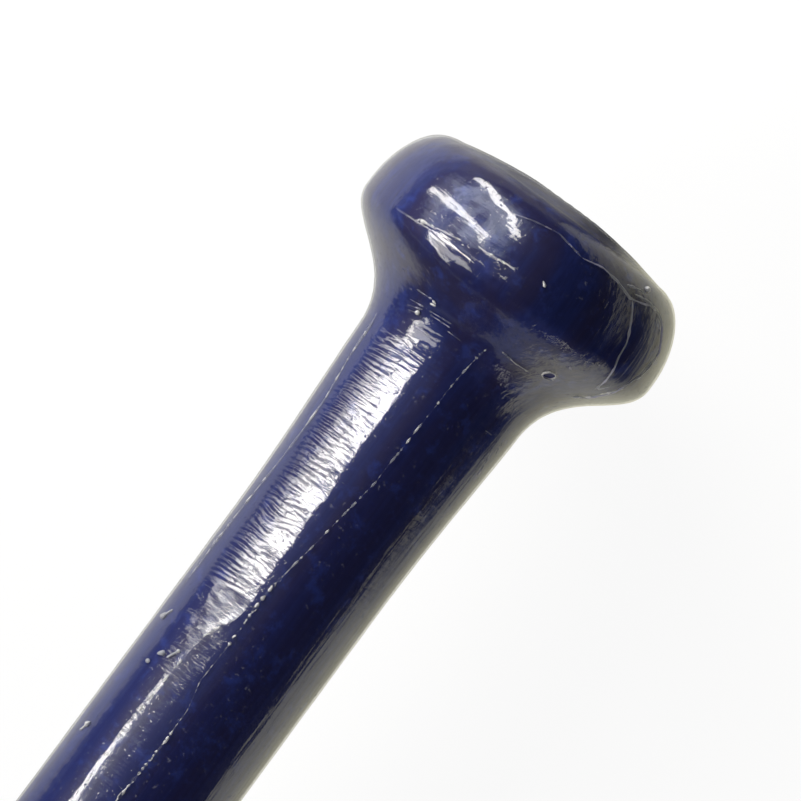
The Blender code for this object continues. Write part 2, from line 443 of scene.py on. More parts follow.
def turned_tree(spun_wall):
    """A body as a lathe turns it, from its closed outline: the wood, or its coat."""
    tree, given, result = new_tree(
        "Turned body",
        "GeometryNodeTree",
        {"Outline": "Geometry", "Facets": 96, "Finish": "Material"},
        {"Body": "Geometry"},
    )
    wall = grouped(tree, spun_wall, {label: given[label] for label in ("Outline", "Facets")})
    finish_tree(tree, wall[0], given["Finish"], result["Body"])
    return tree


# Where the film's wrinkles set in, each from none to full: metres along the bat from the knob's face,
# or degrees round it
LOOSE_SIDE = (-6.0, -32.0)
NECK_FOOT = (0.034, 0.030)
NECK_CREST = (14.0, 2.0)
NECK_GATHERED = (0.034, 0.029)
NEAR_FLANK = (20.0, 60.0)
FAR_FLANK = (35.0, 70.0)
KNOB_RIM = (0.011, 0.005)
SHOULDER_START = (0.0115, 0.0135)
SHOULDER_END = (0.021, 0.017)
SHOULDER_NEAR_SIDE = (-80.0, -50.0)
SHOULDER_FAR_SIDE = (30.0, 16.0)
KNOB_FACE = (0.0080, 0.0025)
TIP_FACE = (0.822, 0.834)
FACE_CENTRE = (0.002, 0.008)

# How far the film's crinkled length takes to set in, to end and to turn into drawn lines
CRINKLES_START_OVER = 0.005
CRINKLES_END_OVER = 0.012
DRAWN_START_OVER = 0.03


def film_tree(spun_wall):
    """The sleeve: outside, a wall that is crinkled across the handle, drawn lengthwise beyond it and
    pulled up along the fold lines; inside, a smooth wall."""
    tree, given, result = new_tree(
        "Shrunk film",
        "GeometryNodeTree",
        {
            "Outline": "Geometry",
            "Inside": "Object",
            "Fold Lines": "Object",
            "Facets": 116,
            "Bunching": 0.5,
            "Finest At": -10.0,
            "Pleat Pitch": 0.00088,
            "Pleat Height": 0.000034,
            "Crinkle Pitch": 0.00060,
            "Crinkle Run": 0.0036,
            "Crinkle Height": 0.00007,
            "Crinkle Slant": -0.12,
            "Crinkled From": 0.022,
            "Crinkled To": 0.076,
            "Drawn Height": 0.00006,
            "Knot Height": 0.00015,
            "Gathers": 22.0,
            "Gather Height": 0.00007,
            "Sag Size": 0.0045,
            "Sag Height": 0.00013,
            "Fold Height": 0.00006,
            "Fold Width": 0.0008,
            "Edge Strays": 34.0,
            "Pleat Drift": 3.2,
            "Tight Share": 0.14,
            "Patch Scale": 130.0,
            "Knot Scale": 900.0,
            "Gather Scale": 90.0,
            "Gather Strays": 3.0,
            "Seed": 3.0,
            "Film": "Material",
        },
        {"Sleeve": "Geometry"},
    )
    seed = given["Seed"]
    shared = ("Outline", "Facets", "Bunching", "Finest At")
    wall = grouped(tree, spun_wall, {label: given[label] for label in shared})
    place = add_node(tree, "GeometryNodeInputPosition").outputs[0]
    parts = parted(tree, place)
    along = parts["X"]
    turn = maths(tree, "DEGREES", maths(tree, "ARCTAN2", parts["Y"], parts["Z"]))
    slant = product(tree, parts["Y"], given["Crinkle Slant"])
    slanted = maths(tree, "SUBTRACT", along, slant)
    sheared = joined(tree, slanted, parts["Y"], parts["Z"])

    def stretched_noise(run, around, detail=2.0):
        """Noise on the slanted place, of one size along the bat and another round it."""
        sides = maths(tree, "DIVIDE", 1.0, around)
        scale = joined(tree, maths(tree, "DIVIDE", 1.0, run), sides, sides)
        return noise(tree, vector_maths(tree, "MULTIPLY", sheared, scale), detail=detail, seed=seed)

    def swing(values, low_to_high):
        return product(tree, maths(tree, "SUBTRACT", values, 0.5), low_to_high)

    def off_middle(values):
        """How far the part of a value after the point is from a half."""
        return maths(tree, "ABSOLUTE", maths(tree, "SUBTRACT", maths(tree, "FRACT", values), 0.5))

    # How crinkled the film is: loose on one side and at the neck, and tight elsewhere
    full_from = total(tree, given["Crinkled From"], CRINKLES_START_OVER)
    start = ramp(tree, along, given["Crinkled From"], full_from)
    stop = total(tree, given["Crinkled To"], CRINKLES_END_OVER)
    end = ramp(tree, along, stop, given["Crinkled To"], 0.12, 1.0)
    patch = ramp(tree, noise(tree, place, given["Patch Scale"], seed=seed), 0.38, 0.60, 0.55, 1.0)
    share = product(tree, start, end, patch)
    rough_edge = stretched_noise(given["Pleat Pitch"], 0.02)
    ragged_turn = total(tree, turn, swing(rough_edge, given["Edge Strays"]))
    neck = product(tree, ramp(tree, along, *NECK_FOOT), ramp(tree, ragged_turn, *NECK_CREST))
    loose = largest(tree, ramp(tree, ragged_turn, *LOOSE_SIDE), neck)
    flank = ramp(tree, turn, *NEAR_FLANK, 0.0, 0.35)
    gathered = ramp(tree, along, *NECK_GATHERED, 1.0, 2.6)
    crinkled = product(tree, largest(tree, loose, flank), gathered)
    crinkled = product(tree, share, largest(tree, crinkled, given["Tight Share"]))
    grain = stretched_noise(given["Crinkle Pitch"], given["Crinkle Run"], 1.5)
    crinkles = swing(grain, product(tree, crinkled, given["Crinkle Height"]))

    # Pleats on the loose side
    drift = product(tree, stretched_noise(0.005, 0.006, 1.0), given["Pleat Drift"])
    pleat = total(tree, maths(tree, "DIVIDE", slanted, given["Pleat Pitch"]), drift)
    crest = ramp(tree, off_middle(pleat), 0.44, 0.0)
    pleats = product(tree, crest, product(tree, share, loose, given["Pleat Height"]))

    # Lines drawn lengthwise, beyond the crinkles and on the far flank
    full_to = total(tree, given["Crinkled To"], DRAWN_START_OVER)
    beyond = ramp(tree, along, given["Crinkled To"], full_to, 0.25, 1.0)
    far = largest(tree, ramp(tree, along, *KNOB_RIM, 0.0, 1.8), 1.2)
    beyond = largest(tree, beyond, product(tree, ramp(tree, turn, *FAR_FLANK), far))
    pulled = stretched_noise(0.030, 0.0022, 1.0)
    drawn = swing(pulled, product(tree, beyond, given["Drawn Height"]))

    # Knots on the knob's shoulder
    shoulder = product(
        tree, ramp(tree, along, *SHOULDER_START), ramp(tree, along, *SHOULDER_END)
    )
    facing_up = product(
        tree, ramp(tree, turn, *SHOULDER_NEAR_SIDE), ramp(tree, turn, *SHOULDER_FAR_SIDE)
    )
    knotted = product(tree, shoulder, facing_up, given["Knot Height"])
    knots = swing(noise(tree, place, given["Knot Scale"], detail=1.0, seed=seed), knotted)

    # Gathers that run to the middle of the two end faces
    squares = [maths(tree, "POWER", parts[side], 2.0) for side in "YZ"]
    radius = maths(tree, "SQRT", total(tree, *squares))
    strays = noise(tree, place, given["Gather Scale"], detail=1.0, seed=seed)
    strayed = product(tree, strays, given["Gather Strays"])
    round_bat = maths(tree, "DIVIDE", turn, 360.0)
    counted = maths(tree, "MULTIPLY_ADD", round_bat, given["Gathers"], strayed)
    faces = largest(tree, ramp(tree, along, *KNOB_FACE), ramp(tree, along, *TIP_FACE))
    faces = product(tree, faces, ramp(tree, radius, *FACE_CENTRE))
    gathers = product(
        tree, ramp(tree, off_middle(counted), 0.42, 0.0), faces, given["Gather Height"]
    )

    # Broad sags, and the ridges along the fold lines
    sags = noise(tree, place, maths(tree, "DIVIDE", 1.0, given["Sag Size"]), detail=1.0, seed=seed)
    sag = swing(sags, given["Sag Height"])
    lines = add_node(
        tree, "GeometryNodeObjectInfo", {"Object": given["Fold Lines"]}, transform_space="RELATIVE"
    )
    near = add_node(
        tree,
        "GeometryNodeProximity",
        {"Geometry": lines.outputs["Geometry"]},
        target_element="EDGES",
    )
    away = maths(tree, "DIVIDE", near.outputs["Distance"], given["Fold Width"])
    fold = maths(tree, "EXPONENT", product(tree, away, away, -1.0))
    fold = product(tree, fold, given["Fold Height"])

    bumps = total(tree, total(tree, crinkles, pleats), sag)
    height = total(tree, bumps, total(tree, fold, drawn), knots, gathers)
    normal = add_node(tree, "GeometryNodeInputNormal").outputs[0]
    crumpled = add_node(
        tree,
        "GeometryNodeSetPosition",
        {"Geometry": wall[0], "Offset": scaled(tree, normal, height)},
    )

    inside = add_node(
        tree, "GeometryNodeObjectInfo", {"Object": given["Inside"]}, transform_space="RELATIVE"
    )
    lining = grouped(
        tree, spun_wall, {"Outline": inside.outputs["Geometry"], "Facets": LINING_FACETS}
    )
    turned = add_node(tree, "GeometryNodeFlipFaces", {"Mesh": lining[0]})
    marked = add_node(
        tree,
        "GeometryNodeStoreNamedAttribute",
        {"Geometry": turned.outputs[0], "Name": "lining", "Value": 1.0},
        data_type="FLOAT",
    )
    both = add_node(tree, "GeometryNodeJoinGeometry")
    tree.links.new(crumpled.outputs[0], both.inputs[0])
    tree.links.new(marked.outputs[0], both.inputs[0])
    finish_tree(tree, both.outputs[0], given["Film"], result["Sleeve"])
    return tree


def fold_tree():
    """A pinched fold of film that follows a line, and swells and thins along it like beads."""
    tree, given, result = new_tree(
        "Pinched fold",
        "GeometryNodeTree",
        {
            "Line": "Geometry",
            "Step": 0.00022,
            "Width": 0.00022,
            "Bead Pitch": 0.0009,
            "Thinnest": 0.05,
            "Wander": 0.00025,
            "Wander Scale": 300.0,
            "Tapered End": 0.06,
            "Sides": 7,
            "Seed": 1.0,
            "Film": "Material",
        },
        {"Fold": "Geometry"},
    )
    curve = add_node(tree, "GeometryNodeMeshToCurve", {"Mesh": given["Line"]})
    fine = add_node(
        tree,
        "GeometryNodeResampleCurve",
        {"Curve": curve.outputs[0], "Length": given["Step"]},
        mode="LENGTH",
    )
    place = add_node(tree, "GeometryNodeInputPosition").outputs[0]
    shake = noise(tree, place, given["Wander Scale"], seed=given["Seed"], output="Color")
    centred = vector_maths(tree, "SUBTRACT", shake, (0.5, 0.5, 0.5))
    step = scaled(tree, centred, given["Wander"])
    shaken = add_node(tree, "GeometryNodeSetPosition", {"Geometry": fine.outputs[0], "Offset": step})
    bead_scale = maths(tree, "DIVIDE", 1.0, given["Bead Pitch"])
    bead = ramp(tree, noise(tree, place, bead_scale, detail=1.0, seed=given["Seed"]), 0.44, 0.60)
    swell = total(tree, given["Thinnest"], bead)
    radius = product(tree, swell, product(tree, given["Width"], 0.5))
    share = add_node(tree, "GeometryNodeSplineParameter").outputs["Factor"]
    last = maths(tree, "SUBTRACT", 1.0, given["Tapered End"])
    taper = product(
        tree, ramp(tree, share, 0.0, given["Tapered End"], 0.15), ramp(tree, share, 1.0, last, 0.15)
    )
    rim = add_node(
        tree, "GeometryNodeCurvePrimitiveCircle", {"Resolution": given["Sides"], "Radius": 1.0}
    )
    swept = add_node(
        tree,
        "GeometryNodeCurveToMesh",
        {
            "Curve": shaken.outputs[0],
            "Profile Curve": rim.outputs[0],
            "Scale": product(tree, radius, taper),
            "Fill Caps": True,
        },
    )
    finish_tree(tree, swept.outputs[0], given["Film"], result["Fold"])
    return tree


# Meshes


def add_object(name, data):
    made = bpy.data.objects.new(name, data)
    bpy.context.scene.collection.objects.link(made)
    return made


def rows_of_points(name, rows):
    """A mesh of points joined in rows. A flat outline's point (distance, radius) is (x, 0, z)."""
    placed, edges = [], []
    for row in rows:
        first = len(placed)
        placed += [(p.x, 0.0, p.y) if len(p) == 2 else tuple(p) for p in row]
        edges += [(i, i + 1) for i in range(first, len(placed) - 1)]
    mesh = bpy.data.meshes.new(name)
    mesh.from_pydata(placed, edges, [])
    return add_object(name, mesh)


def mesh_object(name, bm):
    """An object of its own for what a bmesh holds."""
    mesh = bpy.data.meshes.new(name)
    bm.to_mesh(mesh)
    return add_object(name, mesh)


def grown_from(source, name, tree, inputs):
    """What a geometry tree makes of an object, as a plain mesh in an object of its own."""
    modifier = source.modifiers.new("making", "NODES")
    modifier.node_group = tree
    identifiers = {item.name: item.identifier for item in tree.interface.items_tree}
    for label, value in inputs.items():
        modifier[identifiers[label]] = value
    bpy.context.view_layer.update()
    made = plain_copy(source, name)
    source.modifiers.clear()
    return made


def plain_copy(source, name):
    depsgraph = bpy.context.evaluated_depsgraph_get()
    mesh = bpy.data.meshes.new_from_object(source.evaluated_get(depsgraph), depsgraph=depsgraph)
    mesh.name = name
    return add_object(name, mesh)


def discard(*objects):
    for item in objects:
        bpy.data.objects.remove(item, do_unlink=True)


def finish_piece(piece, replaced=()):
    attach(piece, "root")
    if replaced:
        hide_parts(*replaced)


# Bamboo strips


def trim(bm, point, beyond):
    """Cuts away all that lies beyond a plane through the point, and closes the cut."""
    bmesh.ops.bisect_plane(
        bm,
        geom=bm.verts[:] + bm.edges[:] + bm.faces[:],
        dist=1e-8,
        plane_co=point,
        plane_no=beyond,
        clear_outer=True,
    )
    rims = [edge for edge in bm.edges if edge.is_boundary]
    bmesh.ops.holes_fill(bm, edges=rims, sides=0)


def slice_between(blank, axis, low, high):
    """A copy of what the blank holds between two planes across an axis."""
    bm = blank.copy()
    trim(bm, low * axis, -axis)
    trim(bm, high * axis, axis)
    return bm


def separate_bodies(bm):
    """One mesh for each body that turning has parted."""
    seen = set()
    bodies = []
    for face in bm.faces:
        if face in seen:
            continue
        seen.add(face)
        island = [face]
        for member in island:
            for edge in member.edges:
                for beside in edge.link_faces:
                    if beside not in seen:
                        seen.add(beside)
                        island.append(beside)
        kept = {member.index for member in island}
        body = bm.copy()
        body.faces.ensure_lookup_table()
        others = [other for other in body.faces if other.index not in kept]
        bmesh.ops.delete(body, geom=others, context="FACES")
        bodies.append(body)
    return bodies


def billet_rows():
    """Each row of the billet, as (name, bottom, top, strips), each strip as (place, low y, high y)."""
    thickness = BILLET_SIDE / BILLET_ROWS
    full_width = BILLET_SIDE / 2 - JOINT_OFFSET
    half_line = GLUE_LINE / 2
    for index in range(BILLET_ROWS):
        row = index - BILLET_ROWS // 2
        name = f"upper{row + 1}" if row >= 0 else f"lower{-row}"
        if index % 2:
            edges = (-BILLET_SIDE / 2, -JOINT_OFFSET, full_width - JOINT_OFFSET, BILLET_SIDE / 2)
        else:
            edges = (-BILLET_SIDE / 2, JOINT_OFFSET - full_width, JOINT_OFFSET, BILLET_SIDE / 2)
        strips = [
            (place, low + half_line, high - half_line)
            for place, low, high in zip(("left", "middle", "right"), edges, edges[1:])
        ]
        yield name, row * thickness + half_line, (row + 1) * thickness - half_line, strips


def add_strip(name, body, material, number):
    """One strip as a piece that stands for its solid. Each is of another stick of bamboo, so that
    it has its own shade and its own place along the pattern."""
    strip = mesh_object(f"turned_{name}", body)
    mesh = strip.data
    mesh.shade_smooth()
    mesh.set_sharp_from_angle(angle=math.radians(WOOD_EDGE_ANGLE))
    mesh.materials.append(material)
    for label, step in (("stick_shade", SHADE_STEP), ("stick_start", START_STEP)):
        values = mesh.attributes.new(label, "FLOAT", "POINT")
        values.data.foreach_set("value", [number * step % 1.0] * len(mesh.vertices))
    finish_piece(strip, (name,))


def build_strips(turned, material):
    zones = ((0.046, 0.0010), (0.120, 0.0025), (0.790, 0.008), (1.0, 0.0015))
    row = rows_of_points("wood_outline", [respaced(closed_outline(WOOD), zones)])
    solid = grown_from(row, "turned_wood", turned, {"Facets": WOOD_FACETS, "Finish": material})
    blank = bmesh.new()
    blank.from_mesh(solid.data)
    discard(row, solid)
    waist = WOOD[0].x + WAIST_DISTANCE
    number = 0
    for row_name, bottom, top, strips in billet_rows():
        layer = slice_between(blank, Z_AXIS, bottom, top)
        for place, low, high in strips:
            strip = slice_between(layer, Y_AXIS, low, high)
            for body in separate_bodies(strip):
                ends = [vert.co.x for vert in body.verts]
                kind = "core_strip"
                if max(ends) < waist:
                    kind = "knob_piece"
                elif min(ends) > waist:
                    kind = "barrel_strip"
                name = f"{kind}_{row_name}_{place}"
                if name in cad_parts:  # a sliver thinner than the glue line isn't kept
                    number += 1
                    add_strip(name, body, material, number)
                body.free()
            strip.free()
        layer.free()
    blank.free()


# Lacquer coat


def build_coat(turned, material):
    """The navy coat, a thin closed skin over the wood from the knob to its masked edge."""
    top = closed_outline(grown(WOOD, COAT_TOP))
    base = closed_outline(grown(WOOD, COAT_BASE))
    zones = ((0.050, 0.0005), (0.120, 0.0015), (0.4, 0.004))
    outside = [p for p in respaced(top, zones) if p.x < COAT_END]
    inside = [p for p in respaced(base, zones) if p.x < COAT_END]
    edge = Vector((COAT_END, outside[-1].y))
    lower_edge = Vector((COAT_END, inside[-1].y))
    row = rows_of_points("coat_outline", [[*outside, edge, lower_edge, *reversed(inside)]])
    inputs = {"Facets": COAT_FACETS, "Finish": material}
    coat = grown_from(row, "navy_lacquer_coat", turned, inputs)
    coat.data.set_sharp_from_angle(angle=math.radians(COAT_EDGE_ANGLE))
    discard(row)
    finish_piece(coat)


# Film sleeve. Lines on it are places (millimetres over the film from the knob end's centre, degrees
# round the bat from the top towards +Y)

SEAM = (
    (46.5, 21.3), (50, 20.5), (56, 19.5), (72, 17.5), (84, 10), (92, 4.7), (95, 3.7), (101, 4.3),
    (109, 3.3), (113, 7.5), (119, 8.1), (132, 5), (150, 9), (180, 4), (220, 8), (270, 5),
)
DRAWN_LINES = (
    (
        (97.4, 1.1), (103.3, -12.1), (107.2, -14.9), (113.2, -17.0), (119.1, -18.7), (130, -18),
        (146, -21),
    ),
    (
        (52, -51), (54.6, -50.8), (60.4, -50.1), (66.2, -46.5), (73.9, -48.2), (87.5, -55.8),
        (100, -57),
    ),
)
PINCHES = (
    ((30.8, 20.0), (31.4, 21.8)),
    ((22.0, 59.7), (21.7, 62.0)),
    ((45.8, -13.5), (45.6, -9.9)),
    ((48.3, -17.5), (48.7, -20.5)),
    ((45.0, -12.6), (45.3, -10.2)),
    ((111.2, -38.4), (111.2, -34.6)),
    ((109.6, -33.6), (108.8, -28.5)),
    ((109.2, -25.3), (107.2, -20.3)),
    ((105.3, -54.7), (103.3, -48.0)),
    ((125.0, -52.0), (123.0, -46.8)),
)
NECK_WRINKLES = (
    ((45.1, -22.4), (44.9, -12.9)),
    ((47.3, -26.0), (47.0, -16.2)),
    ((48.3, -25.9), (47.5, -16.4)),
    ((49.0, -25.7), (48.5, -18.4)),
    ((47.0, -12.8), (46.6, 0.9)),
    ((47.5, -11.5), (47.3, 1.0)),
    ((50.5, -18.8), (50.3, -6.5)),
    ((48.0, 0.8), (48.0, 9.1)),
)
SMALL_CREASES = (
    ((39.5, 42.0), (39.9, 44.4)),
    ((38.9, 48.9), (39.3, 50.9)),
    ((50.8, 48.2), (50.5, 54.8)),
    ((56.5, 55.0), (56.5, 61.4)),
    ((62.3, 76.9), (58.4, 71.2)),
    ((58.4, 77.9), (56.5, 74.8)),
    ((36.6, 50.1), (35.5, 55.5)),
)
KNOB_END_CREASES = (
    ((23.6, 48.3), (22.9, 55.6), (22.9, 59.8)),
    ((24.1, 53.4), (23.6, 60.9), (24.1, 67.9)),
    ((24.9, 69.7), (26.2, 73.4)),
    ((29.3, 79.8), (32.0, 78.2), (34.0, 75.1)),
    ((35.9, 74.0), (38.1, 73.4), (41.7, 76.1), (44.0, 73.4)),
    ((39.1, 68.3), (37.1, 68.5)),
)
KNOB_FOLDS = (
    (
        (25.6, -2.7), (24.4, 6), (23.6, 14.9), (24.6, 26.8), (23.8, 35.4), (24.2, 44), (25.1, 51.4),
        (24.6, 58), (23.6, 66.9),
    ),
    ((25.1, 53), (27.0, 55.1), (30.8, 59.0), (32.9, 59.2), (36, 62.5), (39.5, 68.0)),
    (
        (24.1, 52.8), (23.6, 61), (23.8, 69.6), (25.6, 75.4), (29.0, 79.9), (32.0, 76.4),
        (35.5, 72.7), (39, 75.5), (42.1, 77.1), (43.5, 75.7),
    ),
    ((45.1, 27.4), (45.4, 36), (45.1, 43.8)),
    ((34.4, -28.0), (34.0, -25.1), (33.6, -18.5), (33.2, -12.2), (33.0, -9.5)),
    ((32.4, -5.5), (32.3, -2.9), (32.3, 0.7), (32.0, 6.0), (31.7, 11.0)),
)
LINE_RADIUS = 0.016  # the bat's radius, near enough to space the points of a line
LIP_REACH = 0.58  # the vent lip's radius, as a share of the hole's diameter


def stretch(places, start, end):
    """The part of a line between two distances over the film."""
    arcs, angles = zip(*places)
    inner = [place for place in places if start < place[0] < end]
    return [(start, np.interp(start, arcs, angles)), *inner, (end, np.interp(end, arcs, angles))]


def vent_place():
    """The vent hole's place on the film, (millimetres over the film, degrees round the bat)."""
    distances = [point.x for point in FILM_OUTLINE]
    return float(np.interp(VENT_DISTANCE, distances, FILM_ARCS)) * 1000, VENT_ANGLE


def vent_rim():
    """Places round the vent hole, just outside its edge."""
    arc, angle = vent_place()
    centre, _ = on_film(arc / 1000, angle)
    radius = math.hypot(centre.y, centre.z) * 1000
    reach = VENT_DIAMETER * 1000 * LIP_REACH
    places = []
    for turn in np.linspace(0, 2 * math.pi, 25):
        sideways = math.degrees(reach * math.sin(turn) / radius)
        places.append((arc + reach * math.cos(turn), angle + sideways))
    return places


def line_on_film(places, step=0.0012):
    """Points on the film along a line through the places, a step apart."""
    arcs = np.array([place[0] for place in places]) / 1000
    angles = np.array([place[1] for place in places], float)
    lengths = np.hypot(np.diff(arcs), np.radians(np.diff(angles)) * LINE_RADIUS)
    knots = np.concatenate([[0.0], np.cumsum(lengths)])
    count = max(3, int(knots[-1] / step))
    points = []
    for at in np.linspace(0, knots[-1], count):
        points.append(on_film(np.interp(at, knots, arcs), np.interp(at, knots, angles))[0])
    return points


def punched(film):
    """The sleeve with its vent hole cut through the wall."""
    arc, angle = vent_place()
    centre, points_out = on_film(arc / 1000, angle)
    bm = bmesh.new()
    bmesh.ops.create_cone(
        bm,
        cap_ends=True,
        segments=32,
        radius1=VENT_DIAMETER / 2,
        radius2=VENT_DIAMETER / 2,
        depth=2 * (FILM_WALL + VENT_DIAMETER),
    )
    bm.transform(Matrix.Translation(centre) @ points_out.to_track_quat("Z", "Y").to_matrix().to_4x4())
    punch = mesh_object("vent_punch", bm)
    bm.free()
    cut = film.modifiers.new("vent", "BOOLEAN")
    cut.operation = "DIFFERENCE"
    cut.solver = "EXACT"
    cut.object = punch
    bpy.context.view_layer.update()
    holed = plain_copy(film, "shrink_film_sleeve")
    discard(film, punch)
    return holed


def build_film(spun_wall, material):
    lines = [line_on_film(line) for line in (SEAM, *DRAWN_LINES, *KNOB_FOLDS)]
    fold_lines = rows_of_points("fold_lines", lines)

    zones = (
        (0.028, 0.0006),
        (0.036, 0.00022),
        (0.045, 0.00035),
        (0.096, 0.00015),
        (0.150, 0.0006),
        (0.360, 0.0025),
        (1.0, 0.009),
    )
    row = rows_of_points("film_outline", [respaced(FILM_OUTLINE, zones)])
    inner = closed_outline(grown(WOOD, FILM_CLEARANCE))
    coarse = ((0.050, 0.001), (0.4, 0.006), (1.0, 0.008))
    inside = rows_of_points("film_inside", [respaced(inner, coarse)])
    film = grown_from(
        row,
        "shrink_film",
        film_tree(spun_wall),
        {"Inside": inside, "Fold Lines": fold_lines, "Film": material},
    )
    discard(row, inside, fold_lines)
    film = punched(film)
    finish_piece(film, ("film_sleeve",))

    tree = fold_tree()
    sealed = whitened_glinting_film("Sealed film", grain=0.0008, clear=0.06, white=0.90)
    pinched = whitened_glinting_film("Pinched film", grain=0.0015, clear=0.25, white=0.60)
    creased = whitened_glinting_film("Creased film", grain=0.0040, clear=0.45, white=0.80, tint=LILAC)
    white = whitened_glinting_film("White film", grain=0.0015, clear=0.70, white=0.95)
    faint = whitened_glinting_film(
        "Faintly creased film", grain=0.0015, clear=0.12, white=0.46, tint=LILAC
    )
    # Each fold's whitening is partly real and partly painted glint, and the bright pinches are the
    # whitest of these painted highlights
    for name, lines, width, thinnest, beads, seed, look in (
        ("sealed_seam_end", [stretch(SEAM, 46.5, 49)], 0.00056, 0.05, 0.0006, 12.0, sealed),
        ("sealed_seam_faint", [stretch(SEAM, 49, 90)], 0.00036, 0.02, 0.0009, 13.0, pinched),
        ("sealed_seam_dots", [stretch(SEAM, 90, 104)], 0.00062, 0.02, 0.0010, 15.0, sealed),
        ("sealed_seam_gap", [stretch(SEAM, 104, 111)], 0.00024, 0.02, 0.0010, 16.0, pinched),
        ("sealed_seam", [stretch(SEAM, 111, 270)], 0.00038, 0.50, 0.0008, 2.0, sealed),
        ("drawn_crease", DRAWN_LINES[:1], 0.00034, 0.10, 0.0010, 3.0, sealed),
        ("side_crease", DRAWN_LINES[1:], 0.00022, 0.80, 0.0030, 4.0, pinched),
        ("knob_crease_faint", [KNOB_FOLDS[0][:4]], 0.00015, 1.0, 0.0022, 5.0, faint),
        ("knob_crease", [KNOB_FOLDS[0][3:]], 0.00020, 1.0, 0.0022, 5.0, creased),
        ("knob_crease_branch", KNOB_FOLDS[1:2], 0.00026, 1.0, 0.0018, 6.0, creased),
        ("knob_crease_loop", KNOB_FOLDS[2:3], 0.00022, 0.8, 0.0020, 7.0, creased),
        ("neck_crease", KNOB_FOLDS[3:4], 0.00020, 0.50, 0.0010, 8.0, pinched),
        ("shoulder_crease", KNOB_FOLDS[4:5], 0.00060, 0.10, 0.0012, 10.0, sealed),
        ("shoulder_crease_end", KNOB_FOLDS[5:], 0.00055, 0.05, 0.0012, 11.0, sealed),
        ("bright_pinches", PINCHES, 0.00060, 0.50, 0.0012, 14.0, white),
        ("neck_wrinkles", NECK_WRINKLES, 0.00020, 0.5, 0.0012, 17.0, faint),
        ("small_creases", SMALL_CREASES, 0.00016, 1.2, 0.0012, 18.0, faint),
        ("knob_end_creases", KNOB_END_CREASES[:3], 0.00026, 0.8, 0.0011, 19.0, creased),
        ("knob_rim_creases", KNOB_END_CREASES[3:], 0.00026, 0.6, 0.0011, 20.0, white),
        ("vent_lip", [vent_rim()], 0.00026, 0.60, 0.0030, 9.0, pinched),
    ):
        rows = rows_of_points(f"{name}_lines", [line_on_film(line, 0.0006) for line in lines])
        settings = {"Width": width, "Thinnest": thinnest, "Bead Pitch": beads, "Seed": seed}
        fold = grown_from(rows, name, tree, {**settings, "Film": look})
        discard(rows)
        finish_piece(fold)


# Materials


def new_material(name):
    """A material, its tree and the place on the object that its patterns follow."""
    material = bpy.data.materials.new(name)
    material.use_nodes = True
    tree = material.node_tree
    return material, tree, add_node(tree, "ShaderNodeTexCoord").outputs["Object"]


def finished(material, settings):
    """The material with its shader's sockets set to values or linked to nodes' outputs."""
    tree = material.node_tree
    for name, value in settings.items():
        feed(tree, tree.nodes["Principled BSDF"].inputs[name], value)
    return material


def attribute(tree, name):
    return add_node(tree, "ShaderNodeAttribute", attribute_name=name).outputs["Fac"]


def bump(tree, height, distance, strength):
    inputs = {"Height": height, "Distance": distance, "Strength": strength}
    return add_node(tree, "ShaderNodeBump", inputs).outputs["Normal"]


def mixed(tree, share, first, second, kind="RGBA"):
    inputs = {"Factor": share, "A": first, "B": second}
    return add_node(tree, "ShaderNodeMix", inputs, data_type=kind).outputs["Result"]


def bamboo_group():
    """Long fibres, their darker bundles and the joints of the stick, for a piece that runs along X."""
    tree, given, result = new_tree(
        "Bamboo",
        "ShaderNodeTree",
        {"Place": "Vector", "Stick": 0.0, "Bundle Size": 0.0009, "Joint Spacing": 0.31},
        {"Bundles": "Float", "Cloud": "Float", "Joints": "Float"},
    )
    start = product(tree, given["Stick"], 7.3)
    place = vector_maths(tree, "ADD", given["Place"], joined(tree, start, start, start))
    fine = maths(tree, "DIVIDE", 1.0, given["Bundle Size"])
    fibres = vector_maths(tree, "MULTIPLY", place, joined(tree, 9.0, fine, fine))
    broad = vector_maths(tree, "MULTIPLY", place, (3.0, 160.0, 160.0))
    wobble = product(tree, noise(tree, given["Place"], 220.0), 0.004)
    along = total(tree, parted(tree, place)["X"], wobble)
    phase = maths(tree, "FRACT", maths(tree, "DIVIDE", along, given["Joint Spacing"]))
    off = maths(tree, "ABSOLUTE", maths(tree, "SUBTRACT", phase, 0.5))
    feed(tree, result["Bundles"], noise(tree, fibres, detail=3.0, roughness=0.6))
    feed(tree, result["Cloud"], noise(tree, broad))
    feed(tree, result["Joints"], ramp(tree, off, 0.0050, 0.0012))
    return tree


def bamboo_material(group):
    material, tree, place = new_material("Clear-lacquered bamboo")
    stick = attribute(tree, "stick_start")
    marks = grouped(tree, group, {"Place": place, "Stick": stick})
    colour = mixed(tree, attribute(tree, "stick_shade"), PALE_STICK, TOASTED_STICK)
    clouds = ramp(tree, marks["Cloud"], 0.3, 0.7, 0.0, 0.45)
    colour = mixed(tree, clouds, colour, CLOUDED_STICK)
    veins = ramp(tree, marks["Bundles"], 0.54, 0.72, 0.0, 0.75)
    colour = mixed(tree, veins, colour, STICK_VEIN)
    joints = product(tree, marks["Joints"], 0.6)
    settings = {
        "Base Color": mixed(tree, joints, colour, STICK_JOINT),
        "Roughness": ramp(tree, marks["Bundles"], 0.3, 0.7, 0.34, 0.50),
        "Normal": bump(tree, total(tree, marks["Bundles"], joints), 0.00006, 0.5),
        "Coat Weight": 0.7,
        "Coat Roughness": 0.08,
    }
    return finished(material, settings)


